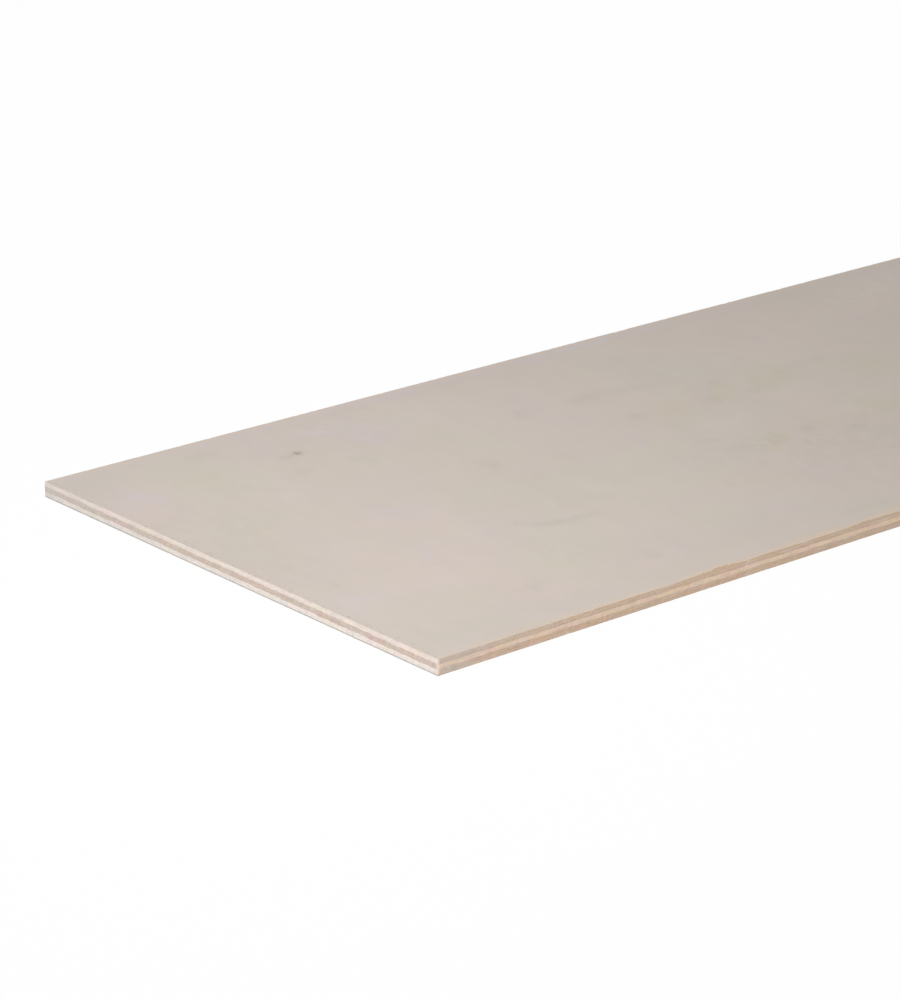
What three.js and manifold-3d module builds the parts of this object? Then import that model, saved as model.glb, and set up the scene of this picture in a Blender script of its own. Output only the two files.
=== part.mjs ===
// A sheet of thin plywood: three veneers glued face to face with crossed grain, sawn square on
// all four edges and sanded. It lies flat with its face veneer up.
//
// Frame: millimetres, +X along the length, +Y across the width, +Z up. The origin is under the
// middle of the sheet, on the plane that it rests on.

import * as THREE from "three";
import { mergeVertices } from "three/addons/utils/BufferGeometryUtils.js";
import Module from "manifold-3d";

const wasm = await Module();
wasm.setup();

// ---------------------------------------------------------------- driving dimensions

const LENGTH = 1200;
const WIDTH = 300;

// The veneers, from the top down. Together they are 8 mm thick.
const FACE_THICKNESS = 2.4;
const CORE_THICKNESS = 2.5;
const BACK_THICKNESS = 3.1;

// Sanding takes the sharpness off the sheet's outer corners and leaves a small quarter round.
const FACE_ARRIS_RADIUS = 0.3;
const BACK_ARRIS_RADIUS = 0.4;
const ARRIS_FACETS = 3;

// The saw crossed the face veneer's grain along the front long edge and lifted splinters there.
// Each tear-out is a shallow scoop: at is its middle, measured from the sheet's left end,
// length lies along the edge, and reach goes in across the face.
const TEAR_DEPTH = 0.8;
const TEAR_OUTS = [
  { at: 30, length: 11, reach: 1.1 },
  { at: 54, length: 8, reach: 0.9 },
  { at: 95, length: 10, reach: 1.2 },
  { at: 141, length: 6, reach: 0.8 },
  { at: 159, length: 9, reach: 1.4 },
  { at: 176, length: 22, reach: 3.6 },
  { at: 236, length: 9, reach: 1.0 },
  { at: 281, length: 26, reach: 2.2 },
];
const TEAR_FACETS = 20; // round a scoop's rim
const TEAR_RINGS = 10; // from a scoop's top pole to its bottom one

// A tool that cuts a ply is this much bigger than the ply, so that their faces never coincide.
const CUT_MARGIN = 2;

// ---------------------------------------------------------------- finishes

const FINISHES = {
  face_veneer: { color: 0xcdc5ba, roughness: 0.7, metalness: 0 },
  core_veneer: { color: 0xd2b99f, roughness: 0.8, metalness: 0 },
  back_veneer: { color: 0xcbc0b0, roughness: 0.72, metalness: 0 },
};

// ---------------------------------------------------------------- solids

/** A closed geometry as a solid that can be cut. */
function solidOf(geometry) {
  const bare = geometry.clone();
  bare.deleteAttribute("normal");
  bare.deleteAttribute("uv");
  const merged = mergeVertices(bare);
  return new wasm.Manifold(
    new wasm.Mesh({
      numProp: 3,
      vertProperties: merged.attributes.position.array,
      triVerts: new Uint32Array(merged.index.array),
    }),
  );
}

/** A solid as a flat-shaded geometry. */
function geometryOf(solid) {
  const mesh = solid.getMesh();
  const geometry = new THREE.BufferGeometry();
  geometry.setAttribute("position", new THREE.BufferAttribute(mesh.vertProperties, 3));
  geometry.setIndex(new THREE.BufferAttribute(mesh.triVerts, 1));
  const flat = geometry.toNonIndexed();
  flat.computeVertexNormals();
  return flat;
}

/** The sheet's outline, seen from above, with margin added all round. */
function outline(margin = 0) {
  const x = LENGTH / 2 + margin;
  const y = WIDTH / 2 + margin;
  return new THREE.Shape([
    new THREE.Vector2(-x, -y),
    new THREE.Vector2(x, -y),
    new THREE.Vector2(x, y),
    new THREE.Vector2(-x, y),
  ]);
}

/** A square-edged ply standing on z = 0. */
function plainPly(thickness, margin = 0) {
  return new THREE.ExtrudeGeometry(outline(margin), {
    depth: thickness,
    bevelEnabled: false,
  });
}

/**
 * An outer ply: its glued side is the plane z = 0, and the four corners of its outer side, at
 * z = thickness, are rounded. It is the upper half of a slab with all its corners rounded.
 */
function outerPly(thickness, radius) {
  const rounded = new THREE.ExtrudeGeometry(outline(), {
    depth: 2 * (thickness - radius),
    bevelEnabled: true,
    bevelThickness: radius,
    bevelSize: radius,
    bevelOffset: -radius,
    bevelSegments: ARRIS_FACETS,
  }).translate(0, 0, radius - thickness);
  const upperHalf = plainPly(thickness + CUT_MARGIN, CUT_MARGIN);
  return solidOf(rounded).intersect(solidOf(upperHalf));
}

/** The scoop that a torn splinter leaves in the front top corner of the face ply. */
function scoop({ at, length, reach }) {
  return new THREE.SphereGeometry(1, TEAR_FACETS, TEAR_RINGS)
    .rotateX(Math.PI / 2)
    .scale(length / 2, reach, TEAR_DEPTH)
    .translate(at - LENGTH / 2, -WIDTH / 2, FACE_THICKNESS);
}

/** The face ply, with its sanded corners and its tear-outs. */
function facePly() {
  return TEAR_OUTS.reduce(
    (ply, tear) => ply.subtract(solidOf(scoop(tear))),
    outerPly(FACE_THICKNESS, FACE_ARRIS_RADIUS),
  );
}

// ---------------------------------------------------------------- assembly

/** A named mesh in its own finish. */
function piece(name, geometry) {
  const mesh = new THREE.Mesh(geometry, new THREE.MeshStandardMaterial(FINISHES[name]));
  mesh.name = name;
  return mesh;
}

// Meshes hold 32-bit numbers. The heights of the glued planes are sums of thicknesses rounded
// the same way, so neighbouring plies meet on exactly one plane.
const BACK_GLUE_HEIGHT = Math.fround(BACK_THICKNESS);
const FACE_GLUE_HEIGHT = BACK_GLUE_HEIGHT + Math.fround(CORE_THICKNESS);

const backVeneer = piece("back_veneer", geometryOf(outerPly(BACK_THICKNESS, BACK_ARRIS_RADIUS)));
backVeneer.rotation.x = Math.PI; // laid with its good side down
backVeneer.position.z = BACK_GLUE_HEIGHT;

const coreVeneer = piece("core_veneer", plainPly(CORE_THICKNESS));
coreVeneer.position.z = BACK_GLUE_HEIGHT;

const faceVeneer = piece("face_veneer", geometryOf(facePly()));
faceVeneer.position.z = FACE_GLUE_HEIGHT;

const sheet = new THREE.Group();
sheet.add(faceVeneer, coreVeneer, backVeneer);

export default sheet;
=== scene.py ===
"""A thin plywood sheet that lies flat with its face veneer up.

Three veneers are glued with their grain crossed. Each is meshed finely along its sawn edges, where
the relief is, and coarsely across the middle, where the sheet is flat. Places are in the frame of
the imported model: +X along the sheet, +Y across it and +Z up. Lengths are in metres, unless a name
or a docstring says millimetres.
"""

import logging
import math
from collections.abc import Iterable
from dataclasses import dataclass, field
from enum import Enum, IntEnum

import bmesh
import bpy
from mathutils import Matrix, Vector, noise


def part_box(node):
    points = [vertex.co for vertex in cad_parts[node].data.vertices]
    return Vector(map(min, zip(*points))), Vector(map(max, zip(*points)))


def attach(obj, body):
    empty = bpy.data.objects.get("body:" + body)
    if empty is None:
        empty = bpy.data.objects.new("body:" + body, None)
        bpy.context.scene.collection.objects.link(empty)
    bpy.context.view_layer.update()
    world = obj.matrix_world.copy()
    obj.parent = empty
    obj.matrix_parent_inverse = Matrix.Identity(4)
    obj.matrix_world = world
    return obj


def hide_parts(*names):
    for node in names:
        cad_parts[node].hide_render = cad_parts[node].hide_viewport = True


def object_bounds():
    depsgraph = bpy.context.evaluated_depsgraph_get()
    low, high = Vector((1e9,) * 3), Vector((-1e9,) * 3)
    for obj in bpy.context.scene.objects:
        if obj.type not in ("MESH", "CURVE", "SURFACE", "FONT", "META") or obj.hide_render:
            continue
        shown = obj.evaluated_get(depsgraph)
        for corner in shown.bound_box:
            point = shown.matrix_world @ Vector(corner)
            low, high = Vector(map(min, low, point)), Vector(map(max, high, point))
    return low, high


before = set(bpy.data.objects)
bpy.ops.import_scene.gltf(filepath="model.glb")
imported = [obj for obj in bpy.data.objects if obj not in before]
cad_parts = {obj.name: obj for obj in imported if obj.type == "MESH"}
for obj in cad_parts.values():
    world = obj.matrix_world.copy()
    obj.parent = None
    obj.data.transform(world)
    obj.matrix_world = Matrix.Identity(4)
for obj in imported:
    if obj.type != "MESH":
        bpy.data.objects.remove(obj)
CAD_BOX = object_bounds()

LOG = logging.getLogger("plywood")

MM = 0.001
BODY = "root"
BAKE_MAP = "OFBake"

Pair = tuple[float, float]
Triple = tuple[float, float, float]
Rgba = tuple[float, float, float, float]
Rim = list[bmesh.types.BMEdge]
Socket = bpy.types.NodeSocket
Feed = float | tuple | Socket

UP = Vector((0.0, 0.0, 1.0))
RIGHT = Vector((1.0, 0.0, 0.0))
FULL = (0.0, 1.0)
FALLING = (1.0, 0.0)
MIDDLE = (0.3, 0.7)  # where most of a noise lies
ENDLESS = 1.0  # the size of patches along an axis on which a pattern hardly changes
SEED_STEPS = (7.3, 3.1, 5.7)  # how far one seed moves a pattern along X, Y and Z, in patches
LEVEL = 0.99  # the upward share of a normal above which a face counts as level


class Grain(Enum):
    """The direction that a veneer's fibres run in."""

    ALONG = "along the sheet"
    ACROSS = "across the sheet"


class Zone(IntEnum):
    """The kinds of surface on a veneer, numbered as its material slots."""

    FLAT = 0
    LONG_EDGE = 1
    END = 2


class Mark(Enum):
    """What a surface carries besides its wood, kept as a share at each point of the mesh. Some
    marks are painted shade and a painted highlight.
    """

    TORN = "torn"
    # dirt on the front edge, and painted shade along the left end's bottom
    GRIME_AND_SHADE = "grime"
    # a painted highlight on the rounding at the near corner
    CORNER_HIGHLIGHT = "rubbed"
    # greyed wood, and painted shade down the far corner of the left end
    WEATHERED_AND_SHADED = "weathered"
    # stains, and the painted shadow beside the crease
    STAIN_AND_SHADE = "stain"


class Moves(Enum):
    """What a mapping moves: the coordinates, or the drawing that lies on them."""

    COORDINATES = "POINT"
    DRAWING = "TEXTURE"


class Trait(Enum):
    """How a cloud on a face can differ from the wood around it."""

    DARKER = "darker"
    GREENER = "greener"
    BLUER = "bluer"
    YELLOWER = "yellower"


# ------------------------------------------------------------------ small tools


def tint(code: str) -> Rgba:
    """Turns a hexadecimal screen colour into linear numbers.

    Args:
        code: Six hexadecimal digits after a hash sign.

    Returns:
        Linear red, green, blue and an alpha of one.
    """
    knee, slope, lift, power = 0.04045, 12.92, 0.055, 2.4
    screen = [int(code[i : i + 2], 16) / 255 for i in (1, 3, 5)]
    linear = [c / slope if c <= knee else ((c + lift) / (1.0 + lift)) ** power for c in screen]
    return (*linear, 1.0)


def grit(across: float, up: float, seed: float) -> float:
    """Gives a smooth random height.

    Args:
        across: Place along the first direction, in bumps.
        up: Place along the second direction, in bumps.
        seed: Which of many unlike patterns to read.

    Returns:
        A height from zero to one.
    """
    middle, swing = 0.5, 0.7
    return min(max(middle + swing * noise.noise(Vector((across, up, seed))), 0.0), 1.0)


def fade(value: float, start: float, end: float) -> float:
    """Falls smoothly from one at start to zero at end.

    Args:
        value: Where to read the curve.
        start: The last value at which it is one.
        end: The first value at which it is zero.

    Returns:
        A number from zero to one.
    """
    share = min(max((value - start) / (end - start), 0.0), 1.0)
    return 1.0 - share * share * (3.0 - 2.0 * share)


def between(ends: Pair, share: float) -> float:
    """Gives the number that lies a share of the way from one end to the other."""
    return ends[0] + (ends[1] - ends[0]) * share


def once(items: Iterable) -> list:
    """Lists items once each, in the order that they come in."""
    return list(dict.fromkeys(items))


def put(name: str, data: bpy.types.ID) -> bpy.types.Object:
    """Puts a new object in the scene.

    Args:
        name: Its name.
        data: Its mesh, lamp or camera.

    Returns:
        The object.
    """
    thing = bpy.data.objects.new(name, data)
    bpy.context.scene.collection.objects.link(thing)
    return thing


def put_mesh(
    name: str, bm: bmesh.types.BMesh, materials: list[bpy.types.Material]
) -> bpy.types.Object:
    """Puts a finished mesh in the scene.

    Args:
        name: The object's name.
        bm: The mesh, which is freed.
        materials: Its materials, one for each slot.

    Returns:
        The object.
    """
    mesh = bpy.data.meshes.new(name)
    bm.to_mesh(mesh)
    bm.free()
    for material in materials:
        mesh.materials.append(material)
    return put(name, mesh)


@dataclass(frozen=True)
class Fading:
    """Something that is strongest at a line and fades smoothly away from it.

    With the start beyond the end, it grows away from the line instead.
    """

    share: float
    start_mm: float
    end_mm: float

    def at(self, distance: float) -> float:
        """Gives the share at a distance from the line, in metres."""
        return self.at_mm(distance / MM)

    def at_mm(self, distance: float) -> float:
        """Gives the share at a distance from the line, in millimetres."""
        return self.share * fade(distance, self.start_mm, self.end_mm)


# ------------------------------------------------------------------ finishes


@dataclass(frozen=True)
class Pattern:
    """A cloudy pattern in the wood, and how it is read.

    The size of its patches is in millimetres: along X and Y on a face, along and up on an edge.
    Its seed is added to the finish's own. What it reads is stretched onto what it gives.
    """

    size: Pair
    seed: float
    detail: float = 2.0
    stir: float = 0.0
    reads: Pair = MIDDLE
    gives: Pair = FULL

    def spacing(self, zone: Zone) -> Triple:
        """Gives the size of the patches along each axis.

        Args:
            zone: The kind of surface that they lie on.

        Returns:
            Their size along X, Y and Z, in metres.
        """
        first, second = self.size[0] * MM, self.size[1] * MM
        on_zones = {
            Zone.FLAT: (first, second, ENDLESS),
            Zone.LONG_EDGE: (first, ENDLESS, second),
            Zone.END: (ENDLESS, first, second),
        }
        return on_zones[zone]


class Graph:
    """A node graph, written a node at a time."""

    def __init__(self, tree: bpy.types.NodeTree) -> None:
        """Empties a node tree to write in it.

        Args:
            tree: The tree of a material or of the world.
        """
        self.nodes = tree.nodes
        self.links = tree.links
        self.nodes.clear()

    def fill(self, node: bpy.types.Node, inputs: dict[str | int, Feed]) -> None:
        """Links sockets to a node's inputs, or sets the inputs to fixed values.

        Args:
            node: The node.
            inputs: What its inputs get, by name or number.
        """
        for entry, value in inputs.items():
            if isinstance(value, Socket):
                self.links.new(value, node.inputs[entry])
            else:
                node.inputs[entry].default_value = value

    def add(self, kind: str, inputs: dict[str | int, Feed] | None = None) -> bpy.types.Node:
        """Adds a node.

        Args:
            kind: Its type, without the start that all types share.
            inputs: What its inputs get, by name or number.

        Returns:
            The node.
        """
        node = self.nodes.new(f"ShaderNode{kind}")
        self.fill(node, inputs or {})
        return node

    def math(self, operation: str, *values: Feed, kind: str = "Math") -> Socket:
        """Adds a calculation.

        Args:
            operation: The name of the operation.
            *values: Its numbers, vectors or sockets, in order.
            kind: The type of node, for numbers or for vectors.

        Returns:
            The result's socket.
        """
        node = self.add(kind, dict(enumerate(values)))
        node.operation = operation
        return node.outputs[0]

    def total(self, values: list[Socket]) -> Feed:
        """Adds several sockets together.

        Args:
            values: The sockets.

        Returns:
            The sum's socket, or zero where there are none.
        """
        result, *others = values or [0.0]
        for value in others:
            result = self.math("ADD", result, value)
        return result

    def seen_directly(self) -> Socket:
        """Adds a test for rays that come from the camera or from a reflection.

        Returns:
            A socket that is one for such rays and zero for others.
        """
        path = self.add("LightPath").outputs
        result = path["Is Camera Ray"]
        for name in ("Is Glossy Ray", "Is Transmission Ray"):
            result = self.math("MAXIMUM", result, path[name])
        return result

    def surface(self, kind: str, share: Feed, first: Socket, second: Socket) -> None:
        """Mixes a share of the second shader into the first, and makes them the surface."""
        mix = self.add("MixShader", {"Fac": share, 1: first, 2: second})
        self.add(kind, {"Surface": mix.outputs["Shader"]})


class WoodGraph(Graph):
    """The node graph of a wood finish, drawn on the piece's own coordinates."""

    def __init__(self, name: str, zone: Zone, seed: float, specular: float) -> None:
        """Starts a material.

        Args:
            name: Its name.
            zone: The kind of surface that it is for.
            seed: Which of many unlike patterns it shows.
            specular: The strength of its reflection.
        """
        self.material = bpy.data.materials.new(name)
        self.material.use_nodes = True
        super().__init__(self.material.node_tree)
        self.zone = zone
        self.seed = seed
        self.shader = self.add("BsdfPrincipled", {"Specular IOR Level": specular})
        self.add("OutputMaterial", {"Surface": self.shader.outputs["BSDF"]})
        self.place = self.add("TexCoord").outputs["Object"]
        self.drawn: dict[tuple, Socket] = {}

    def span(self, value: Feed, source: Pair, target: Pair, smooth: bool = False) -> Socket:
        """Stretches one range of numbers onto another, held at both ends.

        Args:
            value: The number to stretch.
            source: The range that the number comes from.
            target: The range that it is stretched onto.
            smooth: Whether it eases in and out at the ends.

        Returns:
            The result's socket.
        """
        names = ("Value", "From Min", "From Max", "To Min", "To Max")
        node = self.add("MapRange", dict(zip(names, (value, *source, *target))))
        if smooth:
            node.interpolation_type = "SMOOTHSTEP"
        return node.outputs["Result"]

    def mapped(
        self,
        place: Socket,
        moves: Moves = Moves.COORDINATES,
        move: Triple = (0.0, 0.0, 0.0),
        turn: Triple = (0.0, 0.0, 0.0),
        scale: Triple = (1.0, 1.0, 1.0),
    ) -> Socket:
        """Moves, turns and scales coordinates.

        Args:
            place: The coordinates.
            moves: Whether they move, or what is drawn on them.
            move: How far it moves along X, Y and Z.
            turn: The turns about X, Y and Z, in degrees.
            scale: The scale along X, Y and Z.

        Returns:
            The socket of the new coordinates.
        """
        turns = tuple(math.radians(angle) for angle in turn)
        inputs = {"Vector": place, "Location": move, "Rotation": turns, "Scale": scale}
        node = self.add("Mapping", inputs)
        node.vector_type = moves.value
        return node.outputs["Vector"]

    def cloudy(
        self, place: Socket, detail: float = 2.0, stir: float = 0.0, scale: float = 1.0
    ) -> bpy.types.Node:
        """Adds a noise texture, which is about 0.5 on average, with so many finer layers."""
        inputs = {"Vector": place, "Scale": scale, "Detail": detail, "Distortion": stir}
        return self.add("TexNoise", inputs)

    def draw(self, spacing: Triple, seed: float, detail: float, stir: float = 0.0) -> Socket:
        """Draws a cloudy pattern.

        Args:
            spacing: The patches' size along X, Y and Z, in metres.
            seed: Which of many unlike patterns to draw.
            detail: How many finer layers it has.
            stir: How far it is stirred.

        Returns:
            The pattern's socket, about 0.5 on average.
        """
        move = tuple(seed * step for step in SEED_STEPS)
        scale = tuple(1.0 / size for size in spacing)
        place = self.mapped(self.place, move=move, scale=scale)
        return self.cloudy(place, detail, stir).outputs["Fac"]

    def noise(self, pattern: Pattern) -> Socket:
        """Draws a pattern for this surface, once however often it is read.

        Args:
            pattern: The pattern.

        Returns:
            Its socket, about 0.5 on average.
        """
        key = (pattern.size, pattern.seed, pattern.detail, pattern.stir)
        if key not in self.drawn:
            seed = self.seed + pattern.seed
            spacing = pattern.spacing(self.zone)
            self.drawn[key] = self.draw(spacing, seed, pattern.detail, pattern.stir)
        return self.drawn[key]

    def level(self, pattern: Pattern, gives: Pair | None = None) -> Socket:
        """Reads a pattern in its own range, stretched onto what it gives or another range."""
        return self.span(self.noise(pattern), pattern.reads, gives or pattern.gives)

    def scratches(self, pattern: Pattern, lean: float) -> Socket:
        """Draws a pattern in strokes that lean over, alike on every piece.

        Args:
            pattern: The pattern, before it leans.
            lean: How far it leans, in degrees.

        Returns:
            Its socket, about 0.5 on average.
        """
        turn = (0.0, lean, 0.0) if self.zone is Zone.LONG_EDGE else (lean, 0.0, 0.0)
        spacing = pattern.spacing(self.zone)
        place = self.mapped(self.place, Moves.DRAWING, turn=turn, scale=spacing)
        return self.cloudy(place, pattern.detail).outputs["Fac"]

    def spot(self, centre: Pair, radii: Pair, turn: float, place: Socket) -> Socket:
        """Adds a soft oval spot, seen from above.

        Args:
            centre: Its middle in X and Y, in metres.
            radii: Its two radii, in metres.
            turn: Its angle to the X axis, in degrees.
            place: The coordinates that it is drawn on.

        Returns:
            A socket that is one in the middle and zero outside.
        """
        turns = (0.0, 0.0, turn)
        place = self.mapped(place, Moves.DRAWING, (*centre, 0.0), turns, (*radii, 1.0))
        node = self.add("TexGradient", {"Vector": place})
        node.gradient_type = "SPHERICAL"
        return self.span(node.outputs["Fac"], FULL, FULL, smooth=True)

    def stirred(self, reach: float, size: float) -> Socket:
        """Gives the piece's coordinates, pushed about by noise.

        Args:
            reach: How far a place is pushed, in metres.
            size: The size of the swirls, in metres.

        Returns:
            The socket of the stirred coordinates.
        """
        moved = self.mapped(self.place, move=(self.seed, self.seed, self.seed))
        swirl = self.cloudy(moved, scale=1.0 / size).outputs["Color"]
        centred = self.math("SUBTRACT", swirl, (0.5, 0.5, 0.5), kind="VectorMath")
        push = (reach, reach, 0.0)
        return self.math("MULTIPLY_ADD", centred, push, self.place, kind="VectorMath")

    def blend(self, share: Feed, first: Feed, second: Feed) -> Socket:
        """Mixes two colours.

        Args:
            share: How much of the second colour to take, from zero to one.
            first: The first colour or its socket.
            second: The second colour or its socket.

        Returns:
            The mixed colour's socket.
        """
        node = self.add("Mix")
        node.data_type = "RGBA"
        colours = [number for number, entry in enumerate(node.inputs) if entry.type == "RGBA"]
        self.fill(node, {0: share, colours[0]: first, colours[1]: second})
        return next(output for output in node.outputs if output.type == "RGBA")

    def shade(self, colour: Socket, tone: Feed) -> Socket:
        """Makes a colour lighter or darker, by what its brightness is multiplied by."""
        return self.add("HueSaturation", {"Value": tone, "Color": colour}).outputs["Color"]

    def reading(self, mark: Mark) -> Socket:
        """Reads the share of a mark from the piece's own mesh.

        Args:
            mark: The mark.

        Returns:
            The share's socket.
        """
        node = self.add("Attribute")
        node.attribute_name = mark.value
        return node.outputs["Fac"]

    def marked(self, mark: Mark, wood: Socket, colour: str) -> Socket:
        """Lays a colour over the wood, as far as the piece carries a mark."""
        return self.blend(self.reading(mark), wood, tint(colour))

    def torn(self, wood: Socket, fringe: str, torn: str) -> Socket:
        """Colours what the saw has browned or torn out.

        Args:
            wood: The wood's colour.
            fringe: The colour of wood that is half torn.
            torn: The colour of wood that is wholly torn.

        Returns:
            The new colour's socket.
        """
        half = 0.5
        share = self.reading(Mark.TORN)
        for source, colour in (((0.0, half), fringe), ((half, 1.0), torn)):
            wood = self.blend(self.span(share, source, FULL), wood, tint(colour))
        return wood

    def bump(self, relief: Socket, depth: float, under: Socket | None = None) -> Socket:
        """Turns a pattern into relief.

        Args:
            relief: The pattern, from zero to one.
            depth: How deep a full step of it is, in metres.
            under: The normal of a relief that lies under it, if any.

        Returns:
            The socket of the new normal.
        """
        lower = {} if under is None else {"Normal": under}
        node = self.add("Bump", {"Distance": depth, "Height": relief, **lower})
        return node.outputs["Normal"]

    def dress(self, colour: Socket, roughness: Socket, normal: Socket) -> bpy.types.Material:
        """Gives the shader its three inputs.

        Args:
            colour: The base colour.
            roughness: The roughness.
            normal: The normal with its relief.

        Returns:
            The finished material.
        """
        inputs = {"Base Color": colour, "Roughness": roughness, "Normal": normal}
        self.fill(self.shader, inputs)
        return self.material


@dataclass(frozen=True)
class Cloud:
    """A faint patch on a veneer's face, placed from the sheet's near left corner. A few broad ones
    are painted shade, where they darken, and painted light, where they lighten, and shape how the
    lamps' light falls off along the face.

    Its lengths are in millimetres and its turn is in degrees.
    """

    along: float
    across: float
    length: float
    width: float
    turn: float = 0.0
    darker: float = 0.0
    greener: float = 0.0
    bluer: float = 0.0
    yellower: float = 0.0

    def strength(self, trait: Trait) -> float:
        """Gives how strongly the cloud shows a trait.

        Args:
            trait: The trait.

        Returns:
            Its strength, or zero.
        """
        strengths = {
            Trait.DARKER: self.darker,
            Trait.GREENER: self.greener,
            Trait.BLUER: self.bluer,
            Trait.YELLOWER: self.yellower,
        }
        return strengths[trait]

    def spot(self, graph: WoodGraph, corner: Vector, place: Socket) -> Socket:
        """Draws the cloud's soft spot.

        Args:
            graph: The graph to draw it in.
            corner: The sheet's near left corner.
            place: The coordinates that it is drawn on.

        Returns:
            A socket that is one in the cloud's middle and zero outside.
        """
        centre = (corner.x + self.along * MM, corner.y + self.across * MM)
        radii = (self.length * MM / 2, self.width * MM / 2)
        return graph.spot(centre, radii, self.turn, place)


@dataclass(frozen=True)
class FaceFinish:
    """A sanded veneer face: pale and nearly plain, with fine fibres and faint clouds, a few of
    which are painted shade and painted light.
    """

    name: str
    seed: float
    clouds: tuple[Cloud, ...] = ()
    pink: str = "#D0C3BA"
    green: str = "#CAC3B6"
    lilac: str = "#CFC3C0"
    straw: str = "#CDC3B1"
    # colour of stains, which also paints the crease's soft shadow
    stain: str = "#9A8C81"
    fringe: str = "#DBC4AB"
    torn: str = "#C1A78F"
    greens: Pattern = Pattern((100, 70), 0.0, 3.0, reads=(0.35, 0.75), gives=(0.0, 0.7))
    lilacs: Pattern = Pattern((60, 50), 7.0, reads=(0.5, 0.75), gives=(0.0, 0.4))
    straws: Pattern = Pattern((50, 40), 8.0, reads=(0.52, 0.75), gives=(0.0, 0.4))
    drift: Pattern = Pattern((160, 100), 2.0, 4.0, gives=(0.985, 1.015))
    mottle: Pattern = Pattern((20, 28), 9.0, 5.0, 0.8, gives=(-0.014, 0.014))
    figure: Pattern = Pattern((12, 170), 3.0, 3.0, 0.5, gives=(-0.008, 0.008))
    fibre: Pattern = Pattern((0.5, 14), 4.0, 3.0, gives=(-0.014, 0.014))
    pores: Pattern = Pattern((0.4, 3.5), 5.0, 1.0, reads=(0.62, 0.78), gives=(0.0, -0.05))
    pits: Pattern = Pattern((0.4, 3.5), 5.0, 1.0, reads=(0.6, 0.8), gives=FALLING)
    blotches: Pattern = Pattern((7, 9), 6.0, 4.0, 0.8, reads=(0.35, 0.65), gives=(0.3, 1.6))
    swirl_reach: float = 12 * MM
    swirl_size: float = 30 * MM
    fibre_depth: float = 0.02 * MM
    pit_depth: float = 0.03 * MM
    roughness: Pair = (0.62, 0.74)
    specular: float = 0.35

    def material(self, corner: Vector) -> bpy.types.Material:
        """Builds the finish.

        Args:
            corner: The sheet's near left corner, from which the clouds are placed.

        Returns:
            The material.
        """
        graph = WoodGraph(self.name, Zone.FLAT, self.seed, self.specular)
        place = graph.stirred(self.swirl_reach, self.swirl_size)
        blotches = graph.level(self.blotches)
        spots = [
            graph.math("MULTIPLY", cloud.spot(graph, corner, place), blotches)
            for cloud in self.clouds
        ]
        wood = tint(self.pink)
        for pattern, trait, colour in (
            (self.greens, Trait.GREENER, self.green),
            (self.lilacs, Trait.BLUER, self.lilac),
            (self.straws, Trait.YELLOWER, self.straw),
        ):
            share = graph.total([graph.level(pattern), *self.shown(graph, spots, trait)])
            wood = graph.blend(share, wood, tint(colour))
        patterns = (self.drift, self.mottle, self.figure, self.fibre, self.pores)
        tone = graph.total([graph.level(pattern) for pattern in patterns])
        # darker clouds, a few of which are painted shade; those below zero are painted light
        darkness = graph.total(self.shown(graph, spots, Trait.DARKER))
        wood = graph.shade(wood, graph.math("SUBTRACT", tone, darkness))
        wood = graph.marked(Mark.STAIN_AND_SHADE, wood, self.stain)
        wood = graph.torn(wood, self.fringe, self.torn)
        relief = graph.bump(graph.noise(self.fibre), self.fibre_depth)
        relief = graph.bump(graph.level(self.pits), self.pit_depth, relief)
        return graph.dress(wood, graph.level(self.fibre, self.roughness), relief)

    def shown(self, graph: WoodGraph, spots: list[Socket], trait: Trait) -> list[Socket]:
        """Lists how strongly each cloud shows a trait.

        Args:
            graph: The graph to write it in.
            spots: The spot of each cloud.
            trait: The trait.

        Returns:
            A socket for each cloud that shows it.
        """
        strengths = [cloud.strength(trait) for cloud in self.clouds]
        return [
            graph.math("MULTIPLY", spot, strength)
            for spot, strength in zip(spots, strengths)
            if strength
        ]


@dataclass(frozen=True)
class GlueLine:
    """A joint between two veneers, as one of them sees it.

    It wanders by so much in all, in bends of a patch's size. The colour beyond it comes in softly,
    and the dark film of glue fades from the first to the second of its two distances.
    """

    height: float
    seed: float
    is_above: bool
    beyond: str
    wander: float = 1.5 * MM
    patch: float = 9 * MM
    detail: float = 5.0
    softness: float = 0.24 * MM
    film: Pair = (0.03 * MM, 0.20 * MM)
    darkness: float = 0.25


@dataclass(frozen=True)
class EdgeColours:
    """The colours of a sawn edge: its light and dark wood, and its red and yellow patches."""

    light: str
    dark: str
    red: str
    yellow: str


@dataclass(frozen=True)
class Fibres:
    """How fibres show on a sawn edge: their pattern, the saw's bite in tone, and their depth."""

    pattern: Pattern
    bite: float
    depth: float


FIBRE_ENDS = Fibres(Pattern((0.6, 2.4), 4.0, gives=(0.96, 1.04)), 0.07, 0.05 * MM)
FIBRE_SIDES = Fibres(Pattern((22, 0.3), 4.0, gives=(0.97, 1.03)), 0.045, 0.02 * MM)


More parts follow.
